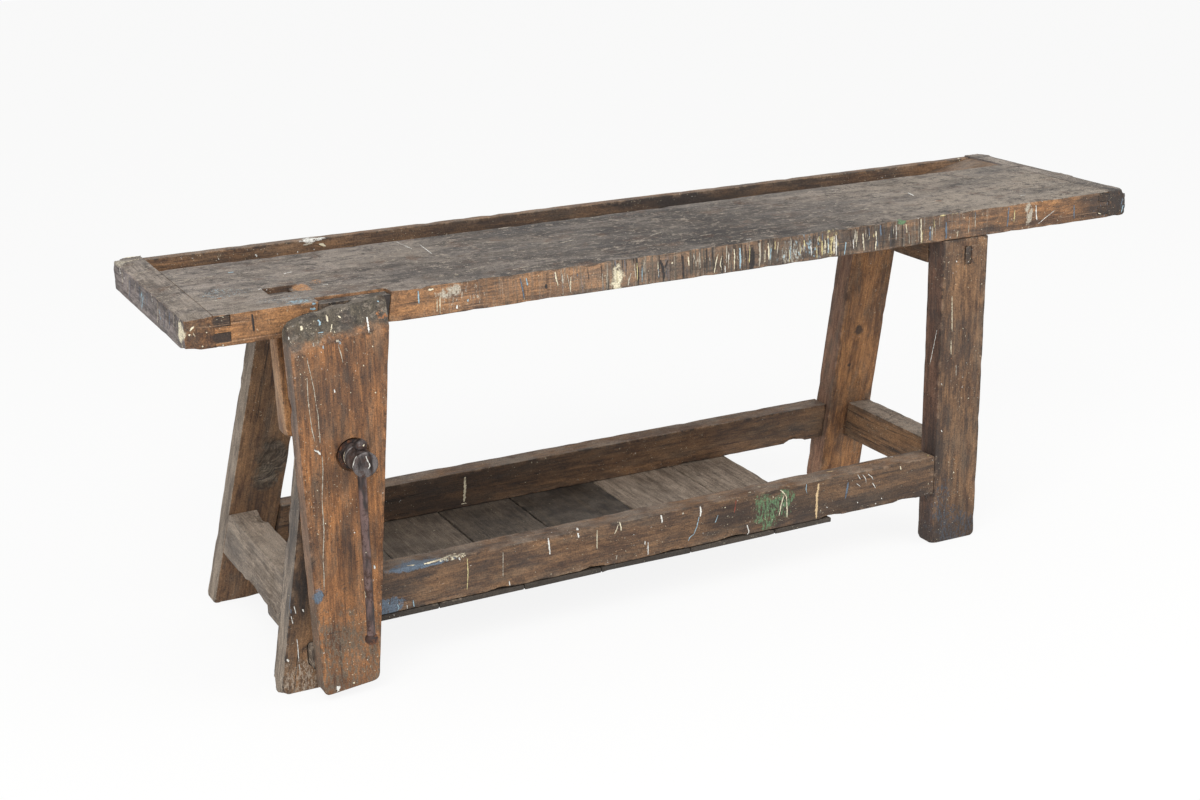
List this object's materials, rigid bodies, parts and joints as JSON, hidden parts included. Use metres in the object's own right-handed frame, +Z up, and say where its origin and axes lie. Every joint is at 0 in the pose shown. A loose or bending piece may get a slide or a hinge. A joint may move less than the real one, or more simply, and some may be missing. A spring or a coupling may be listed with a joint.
{
  "type": "woodworking bench",
  "caption": "Old joiner's bench: thick top with a rear tool tray and planing stop, leaning trestle, low board shelf and a leg vise worked by a screw and tommy bar.",
  "frame": {"origin": "on the floor, at the middle of the bench's overall length and overall depth", "axes": "+Z up, +X along the bench away from the vise, -Y towards the worker"},
  "size_m": [2.2, 0.687, 0.775],
  "materials": {
    "worn_top": "grey-brown, worn, scratched and spotted with paint",
    "oiled_oak": "brown, darkened by oil and dirt",
    "dusty_oak": "grey-brown, dry and dusty",
    "shelf_wood": "dark grey-brown, dry",
    "chop_wood": "red-brown, handled smooth, grey-black at the top",
    "pale_wood": "pale, less weathered",
    "dark_steel": "dark, worn bright on the edges",
    "rusty_iron": "rusted brown"
  },
  "bodies": {
    "bench": {"top_slab": "worn_top", "left_end_cap": "worn_top", "right_end_cap": "worn_top", "rear_rail": "oiled_oak", "tray_ramp": "oiled_oak", "right_front_leg": "oiled_oak", "right_rear_leg": "oiled_oak", "left_rear_leg": "oiled_oak", "left_top_bearer": "oiled_oak", "right_top_bearer": "oiled_oak", "front_stretcher": "oiled_oak", "rear_stretcher": "oiled_oak", "vise_leg": "dusty_oak", "left_side_stretcher": "dusty_oak", "right_side_stretcher": "dusty_oak", "tray_bottom": "shelf_wood", "shelf_board_1": "shelf_wood", "shelf_board_2": "shelf_wood", "shelf_board_3": "shelf_wood", "shelf_board_4": "shelf_wood", "shelf_board_5": "shelf_wood", "shelf_board_6": "shelf_wood", "shelf_nail_front_1": "rusty_iron", "shelf_nail_rear_1": "rusty_iron", "shelf_nail_front_2": "rusty_iron", "shelf_nail_rear_2": "rusty_iron", "shelf_nail_front_3": "rusty_iron", "shelf_nail_rear_3": "rusty_iron", "shelf_nail_front_4": "rusty_iron", "shelf_nail_rear_4": "rusty_iron", "shelf_nail_front_5": "rusty_iron", "shelf_nail_rear_5": "rusty_iron", "shelf_nail_front_6": "rusty_iron", "shelf_nail_rear_6": "rusty_iron", "left_front_coach_bolt": "rusty_iron", "left_rear_coach_bolt": "rusty_iron", "right_front_coach_bolt": "rusty_iron", "right_rear_coach_bolt": "rusty_iron", "nut_screw_1": "rusty_iron", "nut_screw_2": "rusty_iron", "screw_nut": "rusty_iron"},
    "jaw": {"vise_chop": "chop_wood", "parallel_guide": "oiled_oak", "screw_garter": "dark_steel", "garter_screw_1": "rusty_iron", "garter_screw_2": "rusty_iron", "screw_washer": "rusty_iron"},
    "screw": {"vise_screw": "dark_steel"},
    "bar": {"tommy_bar": "dark_steel", "lower_bar_knob": "rusty_iron", "upper_bar_knob": "rusty_iron"},
    "stop": {"planing_stop": "pale_wood"}
  },
  "joints": [
    {"name": "vise_slide", "type": "slide", "parent": "bench", "child": "jaw", "axis": [0, -1, 0], "range_m": [-0.0241, 0.1441]},
    {"name": "screw_turn", "type": "hinge", "parent": "jaw", "child": "screw", "pos_m": [-0.81916, -0.2755, 0.493], "axis": [0, -1, 0], "range_deg": [-1080, 6480]},
    {"name": "tommy_bar_slide", "type": "slide", "parent": "screw", "child": "bar", "axis": [0, 0, 1], "range_m": [0, 0.327]},
    {"name": "planing_stop_slide", "type": "slide", "parent": "bench", "child": "stop", "axis": [-0.035, 0, 0.9994], "range_m": [-0.015, 0.08]}
  ],
  "couplings": [
    {"joint": "vise_slide", "follows": "screw_turn", "m_per_rad": 0.0012732}
  ]
}
